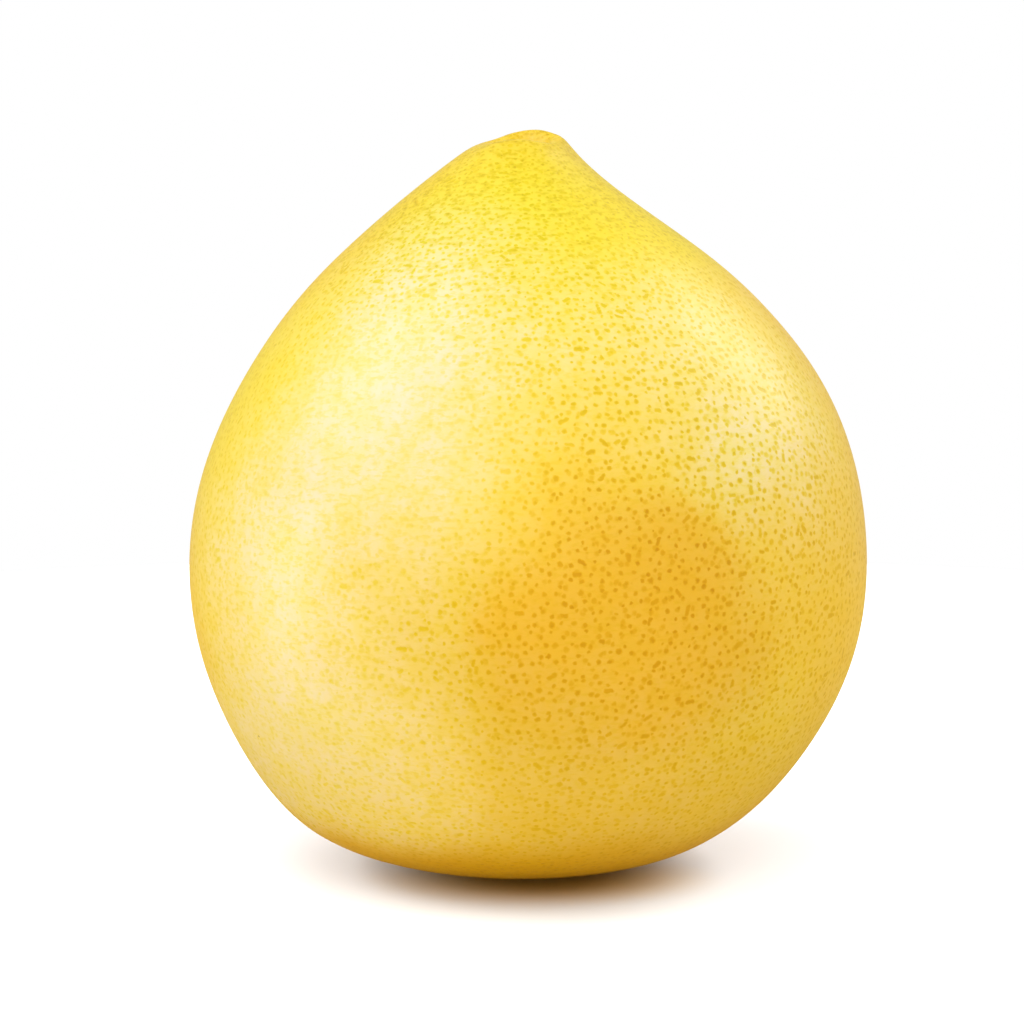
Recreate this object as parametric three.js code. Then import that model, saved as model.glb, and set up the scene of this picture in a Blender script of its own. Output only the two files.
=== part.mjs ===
// A whole pomelo of the pear-shaped kind: a wide round body, a tapering neck that leans a little to
// one side, and a shallow hollow with a dry stalk scar at the top. It grew as one piece, so it is one
// closed solid. Millimetres, +Z up, standing on the flat it settles on; the origin is on that flat's
// plane, under the middle of the fruit's box.

import * as THREE from 'three';

// How finely the skin is cut into flat faces: round the fruit, and between two rows of the outline.
const SLICES = 64;
const STEPS_PER_ROW = 3;

// The outline of one side, bottom to top. A smooth cubic B-spline is pulled towards these rows:
// out  = distance from the middle of the ring, up = height,
// lean = how far that middle sits towards +X, tip = how much the ring rises on its high side.
const OUTLINE = [
  { out: 13, up: 0, lean: -2, tip: 0 }, // edge of the resting flat
  { out: 29, up: 2.5, lean: -2, tip: 0 },
  { out: 51.5, up: 10, lean: -2, tip: 0 },
  { out: 70, up: 38, lean: 0, tip: 0 },
  { out: 76.5, up: 69.5, lean: 0, tip: 0 }, // belly, the widest part
  { out: 70, up: 99.5, lean: 1, tip: 0 },
  { out: 54.5, up: 123.5, lean: 0, tip: 0 }, // shoulder
  { out: 37, up: 139, lean: -1, tip: 0 },
  { out: 22, up: 150.5, lean: -3, tip: 0 }, // neck
  { out: 13, up: 158, lean: -3, tip: 0.5 },
  { out: 9.5, up: 161.5, lean: -2, tip: 1.5 }, // lip round the hollow
  { out: 6, up: 161.5, lean: -1.5, tip: 1.5 },
  { out: 4.5, up: 158.5, lean: -1.5, tip: 0.5 }, // floor of the hollow
  { out: 3.2, up: 158.3, lean: -1.5, tip: 0 },
  { out: 2.6, up: 159.8, lean: -1.5, tip: 0 }, // stalk scar, a low dry button
  { out: 0, up: 159.8, lean: -1.5, tip: 0 },
];

// The lip's high side faces back and a little to +X. A second, smaller wave makes that side peak.
const HIGH_SIDE = 1.2; // radians from +X towards +Y
const PEAK = 0.4; // of the tip

// No fruit is quite round: each wave adds this share of the ring's radius, turned to this angle.
const LOBES = [
  { waves: 2, share: 0.006, turn: 0.4 },
  { waves: 3, share: 0.006, turn: 1.4 },
];

// The skin draws into faint furrows where the neck meets the lip: two waves, so that no two match.
// They are deepest at this height, and have faded out a few times the reach above or below it.
const FURROWS = [
  { waves: 5, depth: 0.3, turn: 0.3 },
  { waves: 8, depth: 0.15, turn: 1.1 },
];
const FURROW_HEIGHT = 158;
const FURROW_REACH = 7;

const RIND = { color: 0xf6d24e, roughness: 0.45, metalness: 0 };

// Uniform cubic B-spline through one column of the outline. The end rows are mirrored, so the curve
// starts and ends exactly on them.
function pulledCurve(rows, key, step) {
  const last = rows.length - 1;
  const segment = Math.min(Math.floor(step), last - 1);
  const u = step - segment;
  const value = (i) => {
    if (i < 0) return 2 * rows[0][key] - rows[1][key];
    if (i > last) return 2 * rows[last][key] - rows[last - 1][key];
    return rows[i][key];
  };
  const weights = [
    (1 - u) ** 3,
    3 * u ** 3 - 6 * u ** 2 + 4,
    -3 * u ** 3 + 3 * u ** 2 + 3 * u + 1,
    u ** 3,
  ];
  return weights.reduce((sum, weight, k) => sum + weight * value(segment - 1 + k), 0) / 6;
}

// The rings of the skin: the middle of the resting flat, its edge, and on up to the stalk scar.
function ringsOf(rows) {
  const steps = (rows.length - 1) * STEPS_PER_ROW;
  const rings = [{ out: 0, up: rows[0].up, lean: rows[0].lean, tip: 0 }];
  for (let i = 0; i <= steps; i += 1) {
    const step = i / STEPS_PER_ROW;
    const ring = {};
    for (const key of ['out', 'up', 'lean', 'tip']) ring[key] = pulledCurve(rows, key, step);
    rings.push(ring);
  }
  return rings;
}

// The sum of waves that run round the fruit, each counted by the named measure.
function wavesRound(waves, measure, turn) {
  return waves.reduce((sum, w) => sum + w[measure] * Math.cos(w.waves * (turn - w.turn)), 0);
}

// Where the skin is on one ring, at one turn round the fruit.
function skinPoint(ring, turn) {
  const nearLip = Math.exp(-(((ring.up - FURROW_HEIGHT) / FURROW_REACH) ** 2));
  const nearMiddle = Math.min(1, ring.out / FURROW_REACH);
  const furrow = nearLip * nearMiddle * wavesRound(FURROWS, 'depth', turn);
  const out = ring.out * (1 + wavesRound(LOBES, 'share', turn)) + furrow;
  const high = Math.cos(turn - HIGH_SIDE) + PEAK * Math.cos(2 * (turn - HIGH_SIDE));
  return new THREE.Vector3(
    ring.lean + out * Math.cos(turn),
    out * Math.sin(turn),
    ring.up + ring.tip * high,
  );
}

// A plain lathed body gives the faces; then every point moves to its place on the real skin.
function pomeloGeometry() {
  const rings = ringsOf(OUTLINE);
  const profile = rings.map((ring) => new THREE.Vector2(ring.out, ring.up));
  const geometry = new THREE.LatheGeometry(profile, SLICES);
  const positions = geometry.getAttribute('position');
  for (let i = 0; i < positions.count; i += 1) {
    const slice = Math.floor(i / rings.length) % SLICES;
    const turn = (2 * Math.PI * slice) / SLICES;
    const point = skinPoint(rings[i % rings.length], turn);
    positions.setXYZ(i, point.x, point.y, point.z);
  }
  geometry.computeBoundingBox();
  const middle = geometry.boundingBox.getCenter(new THREE.Vector3());
  geometry.translate(-middle.x, -middle.y, 0);
  geometry.computeVertexNormals();
  return geometry;
}

const pomelo = new THREE.Mesh(pomeloGeometry(), new THREE.MeshStandardMaterial(RIND));
pomelo.name = 'pomelo';

const part = new THREE.Group();
part.add(pomelo);

export default part;
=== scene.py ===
# %% [markdown]
# # A whole pomelo, one skin worked out on a grid
# A pomelo is the largest of the citrus fruits. This one is pear-shaped: a round body, a neck that leans
# a little, and a small hollow on top where the stalk sat. A plain solid of the right size is already
# there. This lesson replaces it with a finer skin, gives the skin its oil glands and its ripening
# colours, adds the dry stalk scar, and lights the fruit softly on a pale table.

import bpy
import numpy as np
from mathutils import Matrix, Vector


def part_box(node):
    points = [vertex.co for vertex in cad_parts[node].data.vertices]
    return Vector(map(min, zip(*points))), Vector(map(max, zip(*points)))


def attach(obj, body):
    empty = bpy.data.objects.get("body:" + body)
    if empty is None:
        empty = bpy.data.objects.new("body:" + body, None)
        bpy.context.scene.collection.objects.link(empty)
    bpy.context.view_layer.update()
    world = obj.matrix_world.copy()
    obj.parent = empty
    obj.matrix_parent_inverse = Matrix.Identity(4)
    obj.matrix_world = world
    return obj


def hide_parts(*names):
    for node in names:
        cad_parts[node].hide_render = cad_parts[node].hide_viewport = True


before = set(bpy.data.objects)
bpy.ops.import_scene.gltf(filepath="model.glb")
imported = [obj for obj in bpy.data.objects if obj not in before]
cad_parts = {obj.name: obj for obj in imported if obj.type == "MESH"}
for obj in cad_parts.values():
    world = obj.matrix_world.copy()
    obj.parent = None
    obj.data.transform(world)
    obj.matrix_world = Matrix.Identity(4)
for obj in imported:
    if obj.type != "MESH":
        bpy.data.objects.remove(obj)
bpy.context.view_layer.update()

MM = 0.001  # shapes are written in millimetres, and Blender works in metres
fruit_low, fruit_high = (np.array(corner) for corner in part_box("pomelo"))
fruit_size = fruit_high - fruit_low
print("fruit, mm:", (fruit_size / MM).round(1))

# %% [markdown]
# ## Where the eye is
# A fruit on a table is mostly seen from a little above. The camera could be turned by hand, but its
# place is easier to keep when it is worked out: a distance, a height angle, and a point it looks at.
# A long lens keeps the near side of the fruit from swelling.

# %% Camera
EYE_DISTANCE = 0.70
EYE_ABOVE = np.radians(7.0)
LOOKS_AT = Vector((-0.0036, 0.0, 0.0792))
LENS = 111.0


def add_camera():
    """A camera in front of the fruit (towards -Y), raised by EYE_ABOVE and turned to LOOKS_AT."""
    data = bpy.data.cameras.new("eye")
    data.lens = LENS
    camera = bpy.data.objects.new("eye", data)
    bpy.context.scene.collection.objects.link(camera)
    back = Vector((0.0, -np.cos(EYE_ABOVE), np.sin(EYE_ABOVE)))
    camera.location = LOOKS_AT + back * EYE_DISTANCE
    camera.rotation_euler = (-back).to_track_quat("-Z", "Y").to_euler()
    bpy.context.scene.camera = camera
    return camera


print("camera at, m:", [round(c, 3) for c in add_camera().location])

# %% [markdown]
# ## The outline
# A lathe could turn this shape, or a sphere could be sculpted into it. Here the outline is a short list
# of rings, from the flat it rests on up to the hollow, and a cubic B-spline runs smoothly between them.
# A B-spline has no kinks even in its curvature, and a kink would show as a line in the soft highlights.

# %% Outline
# Each ring: distance out from its middle, height, how far its middle leans towards +X, and tip, which
# is how much the ring rises on its high side. All in millimetres.
OUTLINE = np.array([
    (13.0, 0.0, -2.0, 0.0),  # edge of the resting flat
    (29.0, 2.5, -2.0, 0.0),
    (51.5, 10.0, -2.0, 0.0),
    (70.0, 38.0, 0.0, 0.0),
    (76.5, 69.5, 0.0, 0.0),  # belly, the widest part
    (70.0, 99.5, 1.0, 0.0),
    (54.5, 123.5, 0.0, 0.0),  # shoulder
    (37.0, 139.0, -1.0, 0.0),
    (22.0, 150.5, -3.0, 0.0),  # neck
    (13.0, 158.0, -3.0, 0.5),
    (9.5, 161.5, -2.0, 1.5),  # lip round the hollow
    (6.0, 161.5, -1.5, 1.5),
    (4.5, 158.5, -1.5, 0.5),  # floor of the hollow
    (0.0, 158.2, -1.5, 0.0),
])
LAST_STEP = len(OUTLINE) - 1
FINE_CUT = 4000  # places along the outline at which its length is summed


def pulled_curve(step):
    """The outline as a uniform cubic B-spline, for any array of steps from 0 to LAST_STEP.

    Between rows k and k+1, with u the share of the way, a point is the weighted mean of four rows.
    The weights are (1-u)^3, 3u^3-6u^2+4, -3u^3+3u^2+3u+1 and u^3, over 6. The end rows are mirrored
    outwards, so that the curve starts and ends on them.
    """
    rows = np.vstack([2 * OUTLINE[0] - OUTLINE[1], OUTLINE, 2 * OUTLINE[-1] - OUTLINE[-2]])
    first = np.clip(np.floor(step).astype(int), 0, LAST_STEP - 1)
    u = (step - first)[..., None]
    weights = [(1 - u) ** 3, 3 * u ** 3 - 6 * u ** 2 + 4, -3 * u ** 3 + 3 * u ** 2 + 3 * u + 1, u ** 3]
    return sum(weight * rows[first + k] for k, weight in enumerate(weights)) / 6


def rings_at(step):
    """Out, up, lean and tip of the ring at each step. From -1 to 0 the first ring shrinks to the flat's
    middle, and from 0 on the rings follow the curve."""
    out, up, lean, tip = np.moveaxis(pulled_curve(np.maximum(step, 0.0)), -1, 0)
    return out * (1 + np.minimum(step, 0.0)), up, lean, tip


def even_steps(count):
    """count steps from the middle of the flat to the middle of the hollow, equal lengths of skin apart:
    the skin's length is summed along a fine cut, then read backwards."""
    fine = np.linspace(-1.0, LAST_STEP, FINE_CUT)
    out, up, _, _ = rings_at(fine)
    length = np.concatenate([[0.0], np.cumsum(np.hypot(np.diff(out), np.diff(up)))])
    print("skin from flat to hollow, mm:", round(length[-1], 1))
    return np.interp(np.linspace(0.0, length[-1], count), length, fine)


# %% [markdown]
# ## From outline to skin
# Turning the outline round gives a body that is too perfect. Real fruit is slightly oval and slightly
# three-sided, its neck draws into furrows, its lip is higher on one side, and the whole rind swells and
# sinks by a fraction of a millimetre. Noise on the mesh could do that. Short sums of waves are used
# instead, because they close up exactly after one turn and are the same at every density of grid.

# %% Skin as a function of two numbers
HIGH_SIDE = 1.2  # the lip's high side, in radians from +X towards +Y
PEAK = 0.4  # the second, narrower wave of the lip, as a share of its tip
BROW = 0.8  # how much of its tip the lip rises by at the front, which half hides the hollow
LOBES = [(2, 0.006, 0.4), (3, 0.006, 1.4)]  # waves round, share of the radius, turned by
FURROWS = [(5, 0.30, 0.3), (8, 0.15, 1.1)]  # waves round, depth, turned by
FURROW_HEIGHT = 158.0
FURROW_REACH = 7.0
SWELLS = [  # a direction across the fruit, millimetres from crest to crest, height, shift
    ((0.9, 0.3, 0.3), 61.0, 0.16, 0.4),
    ((-0.3, 0.8, 0.5), 47.0, 0.14, 2.1),
    ((0.2, -0.5, 0.8), 38.0, 0.10, 4.0),
    ((0.7, 0.6, -0.4), 27.0, 0.06, 1.2),
]
SWELL_MIDDLE = np.array([0.0, 0.0, 72.0])  # the place that the swells push away from
SWELL_START = 12.0  # below this height the swells fade, so that the flat stays flat
PIT_DEPTH, PIT_REACH = 0.7, 2.4  # the blossom end's small pit, in the middle of the flat
PIT_BELOW = 1.0  # keeps the pit out of the hollow, which has the same axis


def waves_round(waves, turn):
    """The sum of size * cos(count * (turn - turned by)) over the waves."""
    return sum(size * np.cos(count * (turn - turned)) for count, size, turned in waves)


def skin_points(step, turn):
    """The skin at each pair of step along the outline and turn round it, in millimetres.

    A ring's distance out is stretched by the lobes and furrows, then x = lean + out cos(turn),
    y = out sin(turn), z = up + tip (cos(turn - high side) + peak cos 2(turn - high side) + brow b^3), with
    b = -sin(turn) at the front and 0 behind. In the flat, the pit adds depth exp(-(out / reach)^2) to z.
    Last, every point moves away from the fruit's middle by the sum of the swells.
    """
    out, up, lean, tip = rings_at(step)
    near_lip = np.exp(-(((up - FURROW_HEIGHT) / FURROW_REACH) ** 2))
    furrow = near_lip * np.minimum(1.0, out / FURROW_REACH) * waves_round(FURROWS, turn)
    high = np.cos(turn - HIGH_SIDE) + PEAK * np.cos(2 * (turn - HIGH_SIDE))
    high = high + BROW * np.maximum(0.0, -np.sin(turn)) ** 3
    pit = np.where(up < PIT_BELOW, PIT_DEPTH * np.exp(-((out / PIT_REACH) ** 2)), 0.0)
    out = out * (1 + waves_round(LOBES, turn)) + furrow
    points = np.stack([lean + out * np.cos(turn), out * np.sin(turn), up + tip * high + pit], -1)
    outward = points - SWELL_MIDDLE
    outward = outward / np.linalg.norm(outward, axis=-1, keepdims=True)
    swell = sum(
        height * np.sin(2 * np.pi * points @ np.array(way) / apart + shift)
        for way, apart, height, shift in SWELLS
    )
    free = np.clip(up / SWELL_START, 0.0, 1.0)
    return points + outward * (swell * free)[..., None]


RINGS, SLICES = 244, 408  # makes faces a little over a millimetre wide on the belly
steps = even_steps(RINGS + 2)
turns = np.linspace(0.0, 2 * np.pi, SLICES, endpoint=False)
grid_mm = skin_points(*np.broadcast_arrays(steps[:, None], turns[None, :]))
grid_low, grid_high = grid_mm.min((0, 1)), grid_mm.max((0, 1))
to_frame = fruit_size / (grid_high - grid_low)
print("grid box, mm:", (grid_high - grid_low).round(2), "scaled by:", to_frame.round(4))


def in_frame(points_mm):
    """Millimetres of the formula, as metres in the box of the solid that this skin replaces."""
    return fruit_low + (points_mm - grid_low) * to_frame


# %% [markdown]
# ## Grid to mesh
# The grid's first and last rows are each a single point, so they become the two poles. The rest is
# rings of square faces, and the last slice joins the first, so the skin is closed without a seam. The
# corner numbers of all faces come from one array of vertex numbers, rolled by one slice.

# %% Mesh from rings
def closed_mesh(name, rings, bottom, top):
    """A closed mesh of stacked rings, given bottom to top and turning counter-clockwise from above, with
    a fan of triangles at each pole. Faces point outwards."""
    count, around = rings.shape[:2]
    points = np.vstack([rings.reshape(-1, 3), [bottom], [top]])
    number = np.arange(count * around).reshape(count, around)
    ahead = np.roll(number, -1, axis=1)
    quads = np.stack([number[:-1], ahead[:-1], ahead[1:], number[1:]], -1).reshape(-1, 4)
    south, north = count * around, count * around + 1
    low_fan = np.stack([ahead[0], number[0], np.full(around, south)], -1)
    high_fan = np.stack([number[-1], ahead[-1], np.full(around, north)], -1)
    mesh = bpy.data.meshes.new(name)
    mesh.from_pydata(points, [], quads.tolist() + low_fan.tolist() + high_fan.tolist())
    mesh.polygons.foreach_set("use_smooth", np.ones(len(mesh.polygons), bool))
    mesh.update()
    piece = bpy.data.objects.new(name, mesh)
    bpy.context.scene.collection.objects.link(piece)
    triangles = 2 * len(quads) + len(low_fan) + len(high_fan)
    print(name, "has", triangles, "triangles")
    return piece


grid = in_frame(grid_mm)
skin = closed_mesh("pomelo_skin", grid[1:-1], grid[0, 0], grid[-1, 0])

# %% [markdown]
# ## Where the oil glands are
# The dots of a citrus rind are oil glands, about a millimetre wide and two or so apart, closer on the
# neck than on the belly. A Voronoi texture cut by the skin would make dots of every size, and dots drawn
# in a map would stretch near the ends. So the glands get real places on the skin: rows of them, each then
# nudged at random. A few are pulled into short dashes, where two grew together.

# %% Gland places
BELLY_GAP, END_GAP = 2.4, 1.5  # millimetres between neighbours, on the belly and at the ends
BELLY_OUT = 76.0
ROW_SHARE = 0.87  # rows lie closer than neighbours in a row, as in a honeycomb
NUDGE = 0.31  # how far a gland strays, as a share of the gap
FIRST_ROW, ROWS_LEFT_OUT = 1.0, 1.5  # keeps rows away from the two ends, where rings shrink to a point
FEWEST = 3  # glands in a row
chance = np.random.default_rng(7)


def gland_gap(out):
    """The gap between neighbours grows evenly with the distance from the fruit's axis."""
    return END_GAP + (BELLY_GAP - END_GAP) * out / BELLY_OUT


def gland_places():
    """Steps and turns of all glands, and their gaps.

    The rows' number is the sum of skin length over row gap, so that each row lies its own gap from the
    next. A row holds as many glands as its length over its gap. Every other row is turned by half a gap,
    and each gland is nudged both ways.
    """
    fine = even_steps(FINE_CUT // 2)
    out, up, _, _ = rings_at(fine)
    skin_length = np.concatenate([[0.0], np.cumsum(np.hypot(np.diff(out), np.diff(up)))])
    rows = np.concatenate([[0.0], np.cumsum(np.diff(skin_length) / (ROW_SHARE * gland_gap(out[1:])))])
    row_length = np.interp(np.arange(FIRST_ROW, rows[-1] - ROWS_LEFT_OUT), rows, skin_length)
    row_out = np.interp(row_length, skin_length, out)
    counts = np.maximum(FEWEST, (2 * np.pi * row_out / gland_gap(row_out)).astype(int))
    row = np.repeat(np.arange(len(counts)), counts)
    place = np.arange(len(row)) - np.repeat(np.cumsum(counts) - counts, counts)
    nudge = chance.uniform(-NUDGE, NUDGE, (2, len(row)))
    turn = 2 * np.pi * (place + 0.5 * (row % 2) + nudge[0]) / counts[row]
    gap = gland_gap(row_out)[row]
    at_length = row_length[row] + nudge[1] * gap
    return np.interp(at_length, skin_length, fine), turn, gap


gland_steps, gland_turns, gland_gaps = gland_places()
gland_homes = in_frame(skin_points(gland_steps, gland_turns))
gland_count = len(gland_homes)
print("glands:", gland_count)

# %% Gland traits
WIDTH, WIDTH_SPREAD = 0.48, 0.08  # a gland's width, as a share of its gap
NARROWEST, WIDEST = 0.32, 0.66  # of the same gap
FAINTEST = 0.5  # the least strength, where 1 is a gland that shows fully
DRAWN_OUT = 0.07  # the share of glands that are drawn out into dashes
DASH_SHORT, DASH_LONG = 0.3, 0.7  # half a dash's length in millimetres
SLANTS, SLANT_SPREAD = [0.0, 0.0, 0.6, -0.7, 1.5], 0.15  # radians from level
SMALL_STEP = 0.004  # a short way along the skin, to find its directions
width_share = chance.normal(WIDTH, WIDTH_SPREAD, gland_count).clip(NARROWEST, WIDEST)
gland_width = MM * gland_gaps * width_share
gland_strength = chance.uniform(FAINTEST, 1.0, gland_count)


def gland_pulls():
    """Half the length of each gland as a vector along the skin: nought for round ones. Most of those that
    are drawn out lie level, some uphill or aslant."""
    ahead = in_frame(skin_points(gland_steps, gland_turns + SMALL_STEP)) - gland_homes
    uphill = in_frame(skin_points(gland_steps + SMALL_STEP, gland_turns)) - gland_homes
    ahead /= np.linalg.norm(ahead, axis=1, keepdims=True)
    uphill /= np.linalg.norm(uphill, axis=1, keepdims=True)
    slant = chance.choice(SLANTS, gland_count) + chance.normal(0, SLANT_SPREAD, gland_count)
    drawn = chance.random(gland_count) < DRAWN_OUT
    half = MM * np.where(drawn, chance.uniform(DASH_SHORT, DASH_LONG, gland_count), 0.0)
    return (ahead * np.cos(slant)[:, None] + uphill * np.sin(slant)[:, None]) * half[:, None]


gland_pull = gland_pulls()
print("dashes:", np.count_nonzero(gland_pull.any(axis=1)))
print("mean width, mm:", (gland_width.mean() / MM).round(2))

# %% [markdown]
# ## Telling each face about its glands
# A shader can't search a list, but it can read attributes. Each face of the skin stores the homes,
# traits and pulls of the two glands nearest to it, and the shader draws them from there. The faces are
# about as wide as a gland, so a dot spans several faces, and they agree because they store the same
# home. Only the glands at about a ring's height can be near it, so each ring is measured against those.

# %% Nearest glands
GLAND_BAND = 3.2 * MM  # how far above or below a ring a gland may lie and still be near it
TINY = 1e-12  # keeps a round gland, whose pull is nought, from a division by nought


def two_nearest(spots):
    """For rows of spots (rings, around, 3), the numbers of the two glands nearest to each.

    The gap to a gland is the gap to the line from home - pull to home + pull, less half its width.
    """
    by_height = np.argsort(gland_homes[:, 2])
    heights = gland_homes[by_height, 2]
    found = np.empty(spots.shape[:2] + (2,), int)
    for row, ring in enumerate(spots):
        start = np.searchsorted(heights, ring[:, 2].min() - GLAND_BAND)
        end = np.searchsorted(heights, ring[:, 2].max() + GLAND_BAND)
        near = by_height[start:max(end, start + 2)]
        away = ring[:, None, :] - gland_homes[near]
        pull = gland_pull[near]
        share = np.clip((away * pull).sum(-1) / ((pull ** 2).sum(-1) + TINY), -1.0, 1.0)
        gap = np.linalg.norm(away - share[..., None] * pull, axis=-1) - gland_width[near] / 2
        found[row] = near[np.argpartition(gap, 1, axis=1)[:, :2]]
    return found


def store_on_faces(name, values):
    """A vector attribute with one value for each face of the skin."""
    attribute = skin.data.attributes.new(name, "FLOAT_VECTOR", "FACE")
    attribute.data.foreach_set("vector", values.astype(np.float32).ravel())


corners = grid[1:-1]
beside = np.roll(corners, -1, axis=1)
quad_middles = (corners[:-1] + beside[:-1] + beside[1:] + corners[1:]) / 4
fan_middles = [(corners[k] + beside[k] + pole) / 3 for k, pole in ((0, grid[0, 0]), (-1, grid[-1, 0]))]
nearest = np.concatenate([
    two_nearest(quad_middles).reshape(-1, 2),
    two_nearest(np.stack(fan_middles)).reshape(-1, 2),
])
gland_traits = np.stack([gland_width / 2, gland_strength, 0 * gland_strength], -1)  # one is spare
for rank, letter in enumerate("ab"):
    store_on_faces(f"gland_{letter}_home", gland_homes[nearest[:, rank]])
    store_on_faces(f"gland_{letter}_traits", gland_traits[nearest[:, rank]])
    store_on_faces(f"gland_{letter}_pull", gland_pull[nearest[:, rank]])
print("faces with glands:", len(nearest))

# %% [markdown]
# ## Shader sums in plain Python
# Wiring dozens of Math nodes by hand hides the idea. A small class wraps a socket, so that a sum such
# as `1 - mask` or `ripple * 0.2` adds its own nodes. Everything that isn't a sum comes from one method,
# which sets a node's settings first and then fills its sockets with values or links.

# %% Sockets that can be summed
class Signal:
    """A number that changes over a surface. Sums with it add Math nodes."""

    def __init__(self, finish, socket):
        self.finish, self.socket = finish, socket

    def output(self, name):
        """Another output of the node that this signal comes from."""
        return Signal(self.finish, self.socket.node.outputs[name])

    def math(self, operation, *values):
        return self.finish.node("ShaderNodeMath", {"operation": operation}, *values)

    def __add__(self, other):
        return self.math("ADD", self, other)

    def __sub__(self, other):
        return self.math("SUBTRACT", self, other)

    def __rsub__(self, other):
        return self.math("SUBTRACT", other, self)

    def __mul__(self, other):
        return self.math("MULTIPLY", self, other)

    def __truediv__(self, other):
        return self.math("DIVIDE", self, other)

    def __rtruediv__(self, other):
        return self.math("DIVIDE", other, self)

    __radd__, __rmul__ = __add__, __mul__

    def larger(self, other):
        return self.math("MAXIMUM", self, other)

    def rise(self, low, high):
        """0 up to low and 1 from high on, with a smooth step between. Where high is the smaller number,
        it falls instead."""
        settings = {"interpolation_type": "SMOOTHSTEP"}
        return self.finish.node("ShaderNodeMapRange", settings, self, low, high)


# %% Materials from few words
MIX_IN, MIX_OUT = (0, 6, 7), 2  # the Mix node's sockets for a share, two colours, and what it gives


class Finish:
    """A material that is being written, with one Principled shader."""

    def __init__(self, name):
        self.material = bpy.data.materials.new(name)
        self.material.use_nodes = True
        self.tree = self.material.node_tree
        self.surface = self.tree.nodes["Principled BSDF"]
        self.place = self.node("ShaderNodeTexCoord", {}, out="Object")

    def fill(self, socket, value):
        """Links a signal to the socket, or sets the socket to a plain value."""
        if isinstance(value, Signal):
            self.tree.links.new(value.socket, socket)
        else:
            socket.default_value = value

    def node(self, kind, settings, *values, out=0, **named):
        """Adds a node: its settings, then its sockets in order and by name, and returns one output."""
        made = self.tree.nodes.new(kind)
        for key, value in settings.items():
            setattr(made, key, value)
        for socket, value in zip(made.inputs, values):
            self.fill(socket, value)
        for key, value in named.items():
            self.fill(made.inputs[key.replace("_", " ")], value)
        return Signal(self, made.outputs[out])

    def attribute(self, name):
        return self.node("ShaderNodeAttribute", {"attribute_name": name}, out="Vector")

    def vector(self, operation, *values, out=0):
        return self.node("ShaderNodeVectorMath", {"operation": operation}, *values, out=out)

    def part(self, vector, axis):
        return self.node("ShaderNodeSeparateXYZ", {}, vector, out=axis)

    def noise(self, size, detail=2.0, rough=0.5, place=None):
        """Soft noise from 0 to 1, with patches about that many metres across."""
        where = self.place if place is None else place
        named = {"Vector": where, "Scale": 1 / size, "Detail": detail, "Roughness": rough}
        return self.node("ShaderNodeTexNoise", {}, out="Fac", **named)

    def mix(self, share, first, second, blend="MIX"):
        """A colour between two: first at share 0, second at share 1."""
        settings = {"data_type": "RGBA", "blend_type": blend}
        mixed = self.node("ShaderNodeMix", settings, out=MIX_OUT)
        for number, value in zip(MIX_IN, (share, first, second)):
            self.fill(mixed.socket.node.inputs[number], value)
        return mixed

    def finish_with(self, **sockets):
        """Fills the Principled shader's own sockets, and returns the material."""
        for key, value in sockets.items():
            self.fill(self.surface.inputs[key.replace("_", " ")], value)
        print(self.material.name, "has", len(self.tree.nodes), "nodes")
        return self.material


# %% [markdown]
# ## The rind's colours
# The rind ripens from green through lemon to gold, and the side that faced the sun blushes orange. One
# noise could tint it all, but a viewer expects the colours in their places: lemon on the neck, gold on
# the belly, a blush on the front. So each patch has a middle and a reach, in metres on the fruit, and
# its edge is made to wander by noise. Some patches paint light and shade as well: paler highlights on
# the shoulders, deeper colour along the outline, and darker amber next to the table.

# %% Screen colours for a shader
def paint(red, green, blue):
    """A colour given as it looks on a screen, 0 to 255, as the linear value that a shader takes: a share s
    of the full screen value becomes ((s + 0.055) / 1.055)^2.4, or s / 12.92 where it is very dark."""
    screen = np.array([red, green, blue]) / 255
    linear = np.where(screen <= 0.04045, screen / 12.92, ((screen + 0.055) / 1.055) ** 2.4)
    return (*linear.tolist(), 1.0)


print("middle grey:", round(paint(128, 128, 128)[0], 3))

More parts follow.
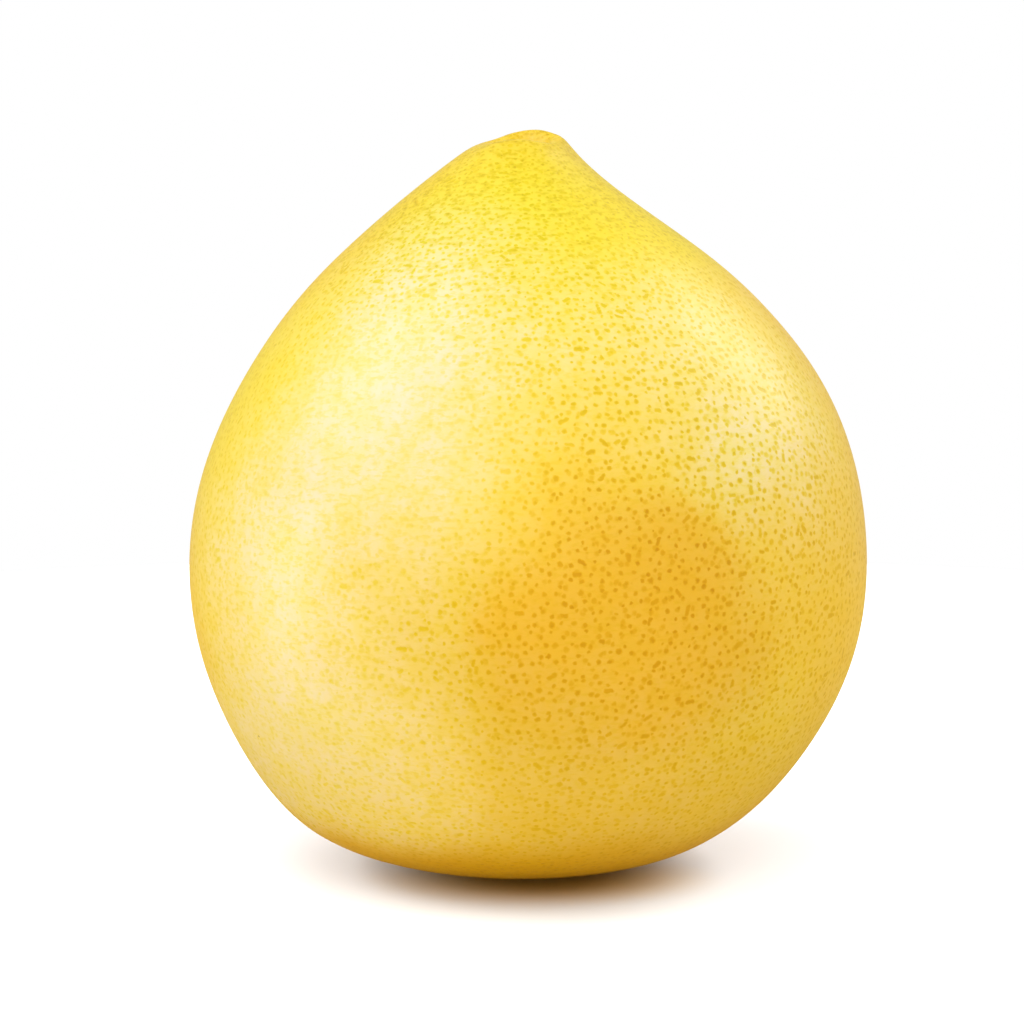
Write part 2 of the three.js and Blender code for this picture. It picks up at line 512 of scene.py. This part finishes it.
# %% Rind colours
GOLD = paint(252, 226, 112)  # most of the rind
LEMON = paint(242, 222, 60)  # the neck
LIME_AND_EDGE_SHADE = paint(249, 223, 14)  # the left flank, where it is painted edge shade that deepens the colour along the outline, and the right of the neck
CREAM_AND_HIGHLIGHT = paint(239, 226, 190)  # the pale left shoulder: paler rind, and partly a painted highlight where the left box's gloss falls
BUTTER_AND_SHEEN = paint(252, 239, 202)  # below it and a spot on the right shoulder: painted highlight over a paler rind, and on the lower left edge a painted reflection of the white room
PALE_AND_SHEEN = paint(249, 228, 158)  # the right shoulder, where it is partly a painted highlight, and parts of the back, where it is the rind's own tone
SUNNY = paint(253, 217, 84)  # round the blush
BLUSH = paint(245, 192, 46)  # the side that faced the sun
RIPE_AND_EDGE_SHADE = paint(251, 210, 78)  # the right flank, partly painted edge shade that deepens the colour along the outline
PEACH_EDGE_SHADE = paint(247, 193, 40)  # painted edge shade: the far side, whose deeper colour shows along the outline
HONEY = paint(238, 208, 110)  # the lower half, and left of the blush
AMBER_CONTACT_SHADE = paint(233, 191, 0)  # painted contact shade: darker, deeper amber next to the table
OCHRE = paint(228, 194, 92)  # below the blush
RUSSET = paint(226, 184, 70)  # the lip and the hollow
SCAR_BROWN = paint(126, 92, 46)
PATCHES = [  # colour, then its middle and reach in metres on the fruit, then its strength
    (HONEY, (0.015, -0.060, 0.030), 0.056, 0.9),
    # painted highlight on the left shoulder, over a paler rind
    (CREAM_AND_HIGHLIGHT, (-0.032, -0.052, 0.114), 0.052, 1.0),
    (CREAM_AND_HIGHLIGHT, (-0.050, -0.056, 0.086), 0.038, 1.0),
    # painted highlight running down the left side, over a paler rind
    (BUTTER_AND_SHEEN, (-0.045, -0.056, 0.052), 0.046, 1.0),
    (BUTTER_AND_SHEEN, (-0.040, -0.046, 0.024), 0.042, 0.75),
    # painted highlight on the right shoulder, over a paler rind
    (PALE_AND_SHEEN, (0.030, -0.056, 0.116), 0.042, 0.6),
    (PALE_AND_SHEEN, (0.054, -0.046, 0.096), 0.034, 1.0),
    # painted highlight on the right shoulder
    (BUTTER_AND_SHEEN, (0.050, -0.050, 0.096), 0.026, 0.5),
    (RIPE_AND_EDGE_SHADE, (0.052, -0.054, 0.068), 0.034, 0.5),
    (SUNNY, (0.012, -0.070, 0.090), 0.038, 0.8),
    (HONEY, (-0.018, -0.070, 0.064), 0.034, 0.7),
    # painted reflection of the white room on the lower left edge
    (BUTTER_AND_SHEEN, (-0.060, -0.024, 0.026), 0.036, 0.7),
    (OCHRE, (0.028, -0.066, 0.058), 0.034, 0.5),
    (BLUSH, (0.012, -0.073, 0.070), 0.037, 0.65),
    (BLUSH, (0.003, -0.073, 0.064), 0.020, 0.6),
    (BLUSH, (0.031, -0.066, 0.062), 0.034, 0.5),
    (BLUSH, (0.030, -0.067, 0.076), 0.020, 0.5),
    (OCHRE, (0.004, -0.070, 0.049), 0.028, 0.5),
    # painted edge shade: deeper lemon along the left outline
    (LIME_AND_EDGE_SHADE, (-0.058, -0.024, 0.114), 0.044, 0.8),
    (LIME_AND_EDGE_SHADE, (-0.060, 0.012, 0.096), 0.056, 0.4),
    (LIME_AND_EDGE_SHADE, (0.026, -0.022, 0.142), 0.028, 0.6),
    (LIME_AND_EDGE_SHADE, (0.024, 0.012, 0.138), 0.040, 0.4),
    # painted edge shade along the right outline
    (RIPE_AND_EDGE_SHADE, (0.070, -0.024, 0.070), 0.045, 0.8),
    (BLUSH, (-0.034, 0.066, 0.056), 0.062, 0.6),
    (PALE_AND_SHEEN, (0.026, 0.056, 0.100), 0.064, 0.6),
    (PALE_AND_SHEEN, (-0.040, 0.040, 0.108), 0.050, 0.4),
    (PALE_AND_SHEEN, (0.064, 0.030, 0.050), 0.050, 0.4),
]
print("patches of colour:", len(PATCHES))

# %% Patches that wander
WANDER_SIZE, WANDER_REACH = 0.035, 0.030  # the size of the waves, and how far they move an edge
PATCH_CORE = 0.15  # the share of its reach within which a patch is full


def wandering_place(finish, size, reach):
    """The place on the fruit, moved by up to half the reach either way, in waves about that size. What is
    drawn round a point there gets natural edges."""
    named = {"Vector": finish.place, "Scale": 1 / size, "Detail": 3.0}
    drift = finish.node("ShaderNodeTexNoise", {}, out="Color", **named)
    centred = finish.vector("SUBTRACT", drift, (0.5, 0.5, 0.5))
    far = finish.node("ShaderNodeVectorMath", {"operation": "SCALE"}, centred, Scale=reach)
    return finish.vector("ADD", finish.place, far)


def patch(finish, place, middle, reach):
    """1 at the middle, fading to 0 at the reach."""
    gap = finish.vector("DISTANCE", place, middle, out="Value")
    return gap.rise(reach, reach * PATCH_CORE)


# %% The colour between the glands
NECK_FROM, NECK_FULL = 0.121, 0.147  # heights between which the neck turns lemon
FAR_FROM, FAR_FULL = -0.034, 0.010  # places from front to back between which the far side turns peach, a painted edge shade along the outline
FAR_SHARE = 0.8
NECK_SHEDS = 0.45  # the share of the peach that the neck goes without
LOW_FROM, LOW_FULL = 0.020, 0.0075  # heights between which the rind next to the table turns amber, a painted contact shade
LOW_WANDER_SIZE, LOW_WANDER_REACH = 0.020, 0.010
HOLLOW_REACH, HOLLOW_SHARE = 0.016, 0.35  # the russet round the stalk
BLOSSOM_REACH = 0.006


def neck_share(finish, place):
    """0 on the body, rising to 1 up the neck."""
    return finish.part(place, "Z").rise(NECK_FROM, NECK_FULL)


def ripe_colour(finish, place):
    """Gold turning to lemon up the neck, and to peach at the far side as painted edge shade along the
    outline; the patches over that, some of them painted highlights and edge shade; amber next to the table
    as painted contact shade; russet in the hollow, and a brown spot at the blossom end."""
    neck = neck_share(finish, place)
    colour = finish.mix(neck, GOLD, LEMON)
    # painted edge shade: the far side deepens to peach, which shows along the outline
    far = finish.part(place, "Y").rise(FAR_FROM, FAR_FULL) * FAR_SHARE
    colour = finish.mix(far * (1 - neck * NECK_SHEDS), colour, PEACH_EDGE_SHADE)
    for shade, middle, reach, strength in PATCHES:
        colour = finish.mix(patch(finish, place, middle, reach) * strength, colour, shade)
    # painted contact shade: amber next to the table, with a wandering edge
    stirred = wandering_place(finish, LOW_WANDER_SIZE, LOW_WANDER_REACH)
    low = finish.part(stirred, "Z").rise(LOW_FROM, LOW_FULL)
    colour = finish.mix(low, colour, AMBER_CONTACT_SHADE)
    stalk = patch(finish, finish.place, tuple(grid[-1, 0].tolist()), HOLLOW_REACH)
    colour = finish.mix(stalk * HOLLOW_SHARE, colour, RUSSET)
    blossom = patch(finish, place, tuple(grid[0, 0].tolist()), BLOSSOM_REACH)
    return finish.mix(blossom, colour, SCAR_BROWN)


# %% [markdown]
# ## Drawing the glands
# A gland is a drop of oil under a thin skin, so it looks like a darker dot with a soft edge. It could be
# a dimple of the mesh, but millions of faces would be needed. Here the shader measures how far it is from
# the two glands that its face knows. A few patches fade the glands: on the left shoulder and flank this is
# a painted highlight that washes them out, and elsewhere the glands are simply fainter. A Voronoi texture
# adds the smallest ones, which lie between the others.

# %% Glands in the shader
SHEEN_AND_FAINT = [  # where the glands are faded, the first three by a painted highlight on the left: middle, reach, share taken away
    ((-0.034, -0.060, 0.104), 0.052, 0.88),
    ((-0.052, -0.050, 0.078), 0.040, 0.5),
    ((-0.050, -0.050, 0.042), 0.058, 0.75),
    ((0.000, -0.060, 0.024), 0.060, 0.25),
    ((0.026, 0.056, 0.100), 0.060, 0.5),
]
RAGGED_SIZE, RAGGED_REACH = 0.0011, 0.0009  # makes the dots' edges ragged
DOT_END, DOT_CORE = 1.15, 0.35  # where a dot ends and where it is full, in its radius
SMALL_GAP, SMALL_STRENGTH = 0.0021, 0.45  # the smallest glands
SMALL_END, SMALL_CORE = 0.40, 0.14  # where one of those ends and where it is full, in their gap
SHADER_TINY = 1e-9  # the same guard, for a shader's coarser numbers


def gland_dots(finish, place, letter):
    """How much of the nearest or next gland is here, from 0 to 1.

    The gland is a line from home - pull to home + pull with a soft round edge. The point's share along
    that line is (place - home).pull over pull.pull, kept within -1 and 1, and the gap is what is left
    after that share of the pull is taken away.
    """
    home = finish.attribute(f"gland_{letter}_home")
    pull = finish.attribute(f"gland_{letter}_pull")
    traits = finish.attribute(f"gland_{letter}_traits")
    radius, strength = finish.part(traits, "X"), finish.part(traits, "Y")
    away = finish.vector("SUBTRACT", place, home)
    square = finish.vector("DOT_PRODUCT", pull, pull, out="Value") + SHADER_TINY
    share = finish.vector("DOT_PRODUCT", away, pull, out="Value") / square
    share = share.math("MINIMUM", share.larger(-1.0), 1.0)
    along = finish.node("ShaderNodeVectorMath", {"operation": "SCALE"}, pull, Scale=share)
    gap = finish.vector("LENGTH", finish.vector("SUBTRACT", away, along), out="Value")
    return (gap / radius).rise(DOT_END, DOT_CORE) * strength


def all_dots(finish, place):
    """Both glands and the smallest ones, whichever is strongest, faded by patches: a painted highlight
    washes them out on the left, and elsewhere they are fainter. place is where the patches are."""
    ragged = wandering_place(finish, RAGGED_SIZE, RAGGED_REACH)
    dots = gland_dots(finish, ragged, "a").larger(gland_dots(finish, ragged, "b"))
    named = {"Vector": ragged, "Scale": 1 / SMALL_GAP}
    small = finish.node("ShaderNodeTexVoronoi", {}, out="Distance", **named)
    dots = dots.larger(small.rise(SMALL_END, SMALL_CORE) * SMALL_STRENGTH)
    for middle, reach, share in SHEEN_AND_FAINT:
        dots = dots * (1 - patch(finish, place, middle, reach) * share)
    return dots


# %% [markdown]
# ## Between the glands
# Between the glands the rind isn't even either. White pith shows through it in clouds, and in curds no
# bigger than a gland, wider than they are tall and strongest on the neck. Both could be painted as bright
# spots over the colour. Instead the places between them multiply the colour, so that gold stays gold and
# lemon stays lemon.

# %% Clouds and curds
CLOUD_SIZE, CLOUD_FROM, CLOUD_FULL, CLOUD_SHARE = 0.006, 0.35, 0.65, 0.9
CLOUD_SHADE = paint(254, 252, 202)
CURD_SIZE, CURD_FROM, CURD_FULL = 0.0016, 0.45, 0.70
CURD_SQUEEZE = (0.8, 0.8, 2.0)  # the curds are wider than they are tall
CURD_SHARE, NECK_ADDS = 0.6, 0.4  # how strong they are on the body, and what the neck adds to that
CURD_SHADE, NECK_CURD_SHADE = paint(248, 246, 150), paint(238, 234, 100)


def mottled(finish, colour, neck):
    """The colour times the clouds' shade, and times the curds' shade."""
    clouds = finish.noise(CLOUD_SIZE, detail=4.0, rough=0.6).rise(CLOUD_FROM, CLOUD_FULL)
    colour = finish.mix(clouds * CLOUD_SHARE, colour, CLOUD_SHADE, "MULTIPLY")
    flattened = finish.vector("MULTIPLY", finish.place, CURD_SQUEEZE)
    curds = finish.noise(CURD_SIZE, detail=3.0, place=flattened).rise(CURD_FROM, CURD_FULL)
    curd_shade = finish.mix(neck, CURD_SHADE, NECK_CURD_SHADE)
    return finish.mix(curds * (neck * NECK_ADDS + CURD_SHARE), colour, curd_shade, "MULTIPLY")


# %% [markdown]
# ## Oil and scars
# The oil stains a little of the skin around each gland, more yellow on the neck, and the dots themselves
# are more amber where the sun fell. One brown for all dots would look printed. Twigs leave a few tiny
# scars, and a Voronoi texture gives each its cell, so that they keep apart.

# %% Oil round the glands
OIL_SPREAD = 1.8  # the stain is full where the dot is above 1 / 1.8
STAIN_SHADE, NECK_STAIN_SHADE = paint(255, 252, 120), paint(252, 250, 70)
DOT_SHADE, SUNNY_DOT_SHADE = paint(237, 234, 144), paint(226, 208, 60)
SUN_SIDE, SUN_REACH = (0.030, -0.066, 0.074), 0.080  # where the dots are more amber


def oiled(finish, colour, dots, place, neck):
    """The colour times the stain's shade, and times the dots' shade."""
    stain = dots.math("MINIMUM", dots * OIL_SPREAD, 1.0)
    stain_shade = finish.mix(neck, STAIN_SHADE, NECK_STAIN_SHADE)
    colour = finish.mix(stain, colour, stain_shade, "MULTIPLY")
    sunny = patch(finish, place, SUN_SIDE, SUN_REACH)
    dot_shade = finish.mix(sunny, DOT_SHADE, SUNNY_DOT_SHADE)
    return finish.mix(dots, colour, dot_shade, "MULTIPLY")


# %% Tiny scars
SCAR_CELL, SCAR_SHARE = 0.011, 0.7
SCAR_END, SCAR_CORE = 0.032, 0.014  # where a scar ends and where it is full, in cells
LOT_FROM, LOT_FULL = 0.74, 0.76  # a cell keeps its scar when its lot is above these


def tiny_scars(finish):
    """A point in each cell about a centimetre wide, kept in one cell out of four."""
    named = {"Vector": finish.place, "Scale": 1 / SCAR_CELL}
    near = finish.node("ShaderNodeTexVoronoi", {}, out="Distance", **named)
    lot = finish.part(near.output("Color"), "X")
    return near.rise(SCAR_END, SCAR_CORE) * lot.rise(LOT_FROM, LOT_FULL)


# %% [markdown]
# ## The rind's finish
# A pomelo's skin is waxy. Polish would mirror the lights with hard edges, and no gloss at all would look
# like felt, so its roughness lies between and changes a little from place to place. It lets some light
# in, and each gland is a shallow dimple under a fine grain.

# %% Rind finish
GRAIN_SIZE, GRAIN_SHARE = 0.0006, 0.25  # the grain's height is a share of a dimple's
DIMPLE, DIMPLE_STRENGTH = 0.0002, 0.25
WAX_SIZE, WAX_ROUGH, WAX_CHANGE = 0.004, 0.36, 0.10  # roughness, and how much noise adds to it
WAX_SPECULAR = 0.36  # a weaker mirror than the usual 0.5
LIGHT_LET_IN, LIGHT_DEPTH = 0.08, 0.002
LIGHT_REACH = (1.0, 0.6, 0.2)  # the shares of that depth for red, green and blue


def rind_finish():
    """The ripening colour, times the mottling and the oil, with the scars over it and wax over all."""
    finish = Finish("rind")
    place = wandering_place(finish, WANDER_SIZE, WANDER_REACH)
    neck = neck_share(finish, place)
    dots = all_dots(finish, place)
    colour = mottled(finish, ripe_colour(finish, place), neck)
    colour = oiled(finish, colour, dots, place, neck)
    colour = finish.mix(tiny_scars(finish) * SCAR_SHARE, colour, SCAR_BROWN)
    relief = finish.noise(GRAIN_SIZE) * GRAIN_SHARE - dots
    named = {"Strength": DIMPLE_STRENGTH, "Distance": DIMPLE, "Height": relief}
    bump = finish.node("ShaderNodeBump", {}, **named)
    return finish.finish_with(
        Base_Color=colour,
        Roughness=finish.noise(WAX_SIZE) * WAX_CHANGE + WAX_ROUGH,
        Normal=bump,
        Specular_IOR_Level=WAX_SPECULAR,
        Subsurface_Weight=LIGHT_LET_IN,
        Subsurface_Scale=LIGHT_DEPTH,
        Subsurface_Radius=LIGHT_REACH,
    )


skin.data.materials.append(rind_finish())
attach(skin, "root")
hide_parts("pomelo")

# %% [markdown]
# ## The stalk scar
# Where the stalk broke off, a dry button stays behind in the hollow: the end of the stalk with the five
# worn lobes of the flower's cup round it. It could be painted on the skin, but from above it is the
# first thing one looks at, so it is a piece of its own. It is a flattened ball whose edge waves five
# times round, with a pit where the stalk's core dried out.

# %% Stalk scar
SCAR_RADIUS = 3.1 * MM
SCAR_HEIGHT = 1.5 * MM
SCAR_SHOULDER = 0.6  # below 1, this makes the side steeper than a ball's
CUP_LOBES = [(5, 0.13, 0.5), (11, 0.04, 0.2)]  # waves round, share of the radius, turned by
LOBE_DROOP = 2.0  # how much the lobes sink at the edge
CORE_DEPTH, CORE_REACH = 0.55, 0.32  # the core's pit, as shares of the height and of the radius
hollow_floor = grid[-1, 0]


def scar_points(share, turn):
    """The button's surface for share 0 (middle below) to 1 (middle above) and turn round it.

    With a = pi (share - 1/2), out = radius cos(a)^shoulder (1 + lobes) and up = height sin(a) (1 - droop
    lobes out / radius). The pit takes the share depth exp(-(out / reach)^2) from the upper half.
    """
    slope = np.pi * (share - 0.5)
    lobes = waves_round(CUP_LOBES, turn)
    out = SCAR_RADIUS * np.maximum(np.cos(slope), 0.0) ** SCAR_SHOULDER * (1 + lobes)
    droop = 1 - LOBE_DROOP * lobes * out / SCAR_RADIUS
    bell = np.exp(-((out / (CORE_REACH * SCAR_RADIUS)) ** 2))
    pit = np.where(slope > 0, CORE_DEPTH * bell, 0.0)
    up = SCAR_HEIGHT * np.sin(slope) * droop * (1 - pit)
    return hollow_floor + np.stack([out * np.cos(turn), out * np.sin(turn), up], -1)


SCAR_RINGS, SCAR_SLICES = 40, 80
scar_shares = np.linspace(0.0, 1.0, SCAR_RINGS)
scar_turns = np.linspace(0.0, 2 * np.pi, SCAR_SLICES, endpoint=False)
scar_grid = scar_points(*np.broadcast_arrays(scar_shares[:, None], scar_turns[None, :]))
scar = closed_mesh("stalk_scar", scar_grid[1:-1], scar_grid[0, 0], scar_grid[-1, 0])

# %% [markdown]
# ## The scar's finish
# Dry stalk is brown and woody. Its fibres run out from the middle like spokes, so the angle round the
# middle is turned into a wave, frayed by noise. A wave texture in rings or bands would run across them
# instead. The pit is darker, and the edge still has some green.

# %% Scar finish
WOOD_DARK, WOOD_PALE = paint(86, 66, 34), paint(164, 140, 84)
PIT_BROWN, EDGE_GREEN = paint(58, 42, 24), paint(142, 138, 60)
FIBRE_COUNT = 31.0
FRAY_SIZE, FRAY_TURN = 0.0007, 0.5  # the noise that frays the fibres, and how far it turns them
FIBRE_SHARE, FRAY_SHARE = 0.6, 0.3  # how much each of them pales the wood
CORE_FROM, CORE_FULL, CORE_SHARE = 1.4 * MM, 0.4 * MM, 0.7
EDGE_FROM, EDGE_FULL, EDGE_SHARE = 2.4 * MM, 3.2 * MM, 0.5
WOOD_ROUGH, WOOD_CHANGE = 0.7, 0.2
WOOD_RELIEF, WOOD_STRENGTH = 0.2 * MM, 0.6


def scar_finish():
    """Dry woody fibres that run out from the middle, darker in the pit and greener at the edge. The fibres
    are the sine of count (angle + fray), moved from between -1 and 1 to between 0 and 1."""
    finish = Finish("stalk_scar")
    away = finish.vector("SUBTRACT", finish.place, tuple(hollow_floor.tolist()))
    across, along = finish.part(away, "X"), finish.part(away, "Y")
    out = finish.vector("LENGTH", finish.vector("MULTIPLY", away, (1.0, 1.0, 0.0)), out="Value")
    fray = finish.noise(FRAY_SIZE, detail=4.0, rough=0.6)
    angle = along.math("ARCTAN2", across)
    fibres = ((angle + fray * FRAY_TURN) * FIBRE_COUNT).math("SINE") * 0.5 + 0.5
    colour = finish.mix(fibres * FIBRE_SHARE + fray * FRAY_SHARE, WOOD_DARK, WOOD_PALE)
    colour = finish.mix(out.rise(CORE_FROM, CORE_FULL) * CORE_SHARE, colour, PIT_BROWN)
    colour = finish.mix(out.rise(EDGE_FROM, EDGE_FULL) * EDGE_SHARE, colour, EDGE_GREEN)
    named = {"Strength": WOOD_STRENGTH, "Distance": WOOD_RELIEF, "Height": fibres * 0.5 + fray}
    bump = finish.node("ShaderNodeBump", {}, **named)
    roughness = fray * WOOD_CHANGE + WOOD_ROUGH
    return finish.finish_with(Base_Color=colour, Roughness=roughness, Normal=bump)


scar.data.materials.append(scar_finish())
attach(scar, "root")

# %% [markdown]
# ## The table
# A fruit needs something to stand on, so that its weight shows in a soft shadow. A whole room could be
# built, but a plain round table top is enough. A white table also lights the fruit from below, which
# would wash out the amber there. So the shader asks what kind of ray has come: the camera sees white, and
# the light that bounces up to the fruit comes from a dull warm card. A ripe rind throws some of its gold
# on the table under it, and a soft patch of painted bounce light stands for that, which also warms the
# shadow there.

# %% Table
TABLE_RADIUS, TABLE_CORNERS = 0.5, 96
# the gold is painted bounce light from the rind, which also warms the shadow under the fruit
TABLE_WHITE, TABLE_BOUNCE_GOLD, TABLE_CARD = paint(250, 251, 254), paint(250, 208, 112), paint(200, 175, 112)
GLOW_MIDDLE, GLOW_REACH = (0.002, -0.016, 0.0), 0.028
GLOW_SQUEEZE = (0.66, 1.0, 1.0)  # makes the patch wider from left to right


def add_table():
    """A flat round table top at height nought. The camera sees its white, with painted golden bounce light
    under the fruit, and all other rays see the card."""
    turn = np.linspace(0.0, 2 * np.pi, TABLE_CORNERS, endpoint=False)
    rim = np.stack([TABLE_RADIUS * np.cos(turn), TABLE_RADIUS * np.sin(turn), 0 * turn], -1)
    mesh = bpy.data.meshes.new("table")
    mesh.from_pydata(rim, [], [list(range(len(rim)))])
    table = bpy.data.objects.new("table", mesh)
    bpy.context.scene.collection.objects.link(table)
    finish = Finish("table_white")
    seen = finish.node("ShaderNodeLightPath", {}, out="Is Camera Ray")
    squeezed = finish.vector("MULTIPLY", finish.place, GLOW_SQUEEZE)
    painted_bounce = patch(finish, squeezed, GLOW_MIDDLE, GLOW_REACH)
    shown = finish.mix(painted_bounce, TABLE_WHITE, TABLE_BOUNCE_GOLD)
    colour = finish.mix(seen, TABLE_CARD, shown)
    table.data.materials.append(finish.finish_with(
        Base_Color=colour, Roughness=1.0, Specular_IOR_Level=0.0))
    return table


table = add_table()
print("table, m across:", round(2 * TABLE_RADIUS, 2))

# %% [markdown]
# ## Soft studio light
# A window or a single lamp would show the form too, but with one hard edge of shadow. Large soft boxes
# wrap their light round the fruit. A tall one on the left and a smaller one behind on the right make the
# two bright places on the shoulders. Two broad ones in front fill the rest, and are kept out of the
# gloss, because mirrored in the wax they'd make the gold look grey. The table has boxes of its own, tied
# to it by light linking: they turn it white and leave the fruit alone.

# %% Soft boxes
FRUIT_MIDDLE = Vector((0.0, 0.0, 0.08))
BOXES = [  # name, direction from the fruit, distance, size, brightness, whether the wax mirrors it
    ("left_box", (-0.62, -0.10, 0.78), 1.3, (0.45, 1.0), 4.7, True),
    ("right_box", (0.68, 0.33, 0.58), 1.2, (0.4, 0.6), 6.4, True),
    ("front_box", (0.05, -0.85, 0.80), 1.5, (1.4, 1.0), 1.5, False),
    ("low_box", (-0.36, -0.90, 0.25), 1.5, (1.4, 1.0), 1.0, False),
]
TABLE_BOXES = [  # name, direction from the fruit, distance, size, brightness
    ("table_box_front", (0.0, -0.9, 0.45), 1.5, (2.0, 1.0), 0.1),
    ("table_box_left", (-0.9, 0.06, 0.40), 1.5, (1.5, 1.0), 4.9),
    ("table_box_right", (0.9, 0.06, 0.60), 1.5, (1.5, 1.0), 3.4),
]
COOL_LIGHT = (0.80, 0.96, 1.07)  # evens out the fruit's golden light on the table


def add_softbox(name, direction, distance, size, brightness):
    """A soft light at that distance from the fruit's middle, facing it. Its power is pi times its area
    times its brightness, so brightness is what a mirror would show of it, with white paper at 1."""
    data = bpy.data.lights.new(name, "AREA")
    data.shape = "RECTANGLE"
    data.size, data.size_y = size
    data.energy = np.pi * size[0] * size[1] * brightness
    lamp = bpy.data.objects.new(name, data)
    bpy.context.scene.collection.objects.link(lamp)
    way = Vector(direction).normalized()
    lamp.location = FRUIT_MIDDLE + way * distance
    lamp.rotation_euler = (-way).to_track_quat("-Z", "Y").to_euler()
    print(name, "gives", round(data.energy, 2), "W")
    return lamp


for *box, mirrored in BOXES:
    add_softbox(*box).visible_glossy = mirrored
only_table = bpy.data.collections.new("lit_by_table_boxes")
only_table.objects.link(table)
for box in TABLE_BOXES:
    lamp = add_softbox(*box)
    lamp.data.color = COOL_LIGHT
    lamp.light_linking.receiver_collection = only_table

# %% [markdown]
# ## The room
# Behind the table there is only white. A backdrop could be modelled, but a world of one colour has no
# edges and no corners. As bright as the camera should see it, it would light the fruit flat from all
# sides, so again the kind of ray decides, and the fruit gets about half.

# %% White room
ROOM_SEEN, ROOM_SHED = 1.0, 0.49


def add_white_room():
    """A white world. The camera sees it at one strength, and the fruit is lit by it at another."""
    world = bpy.data.worlds.new("studio")
    bpy.context.scene.world = world
    world.use_nodes = True
    tree = world.node_tree
    background = tree.nodes["Background"]
    background.inputs["Color"].default_value = (1.0, 1.0, 1.0, 1.0)
    path = tree.nodes.new("ShaderNodeLightPath")
    strength = tree.nodes.new("ShaderNodeMix")
    strength.data_type = "FLOAT"
    strength.inputs["A"].default_value = ROOM_SHED
    strength.inputs["B"].default_value = ROOM_SEEN
    tree.links.new(path.outputs["Is Camera Ray"], strength.inputs["Factor"])
    tree.links.new(strength.outputs["Result"], background.inputs["Strength"])


add_white_room()
bpy.context.scene.view_settings.view_transform = "Standard"
print("room seen and shed:", ROOM_SEEN, ROOM_SHED)
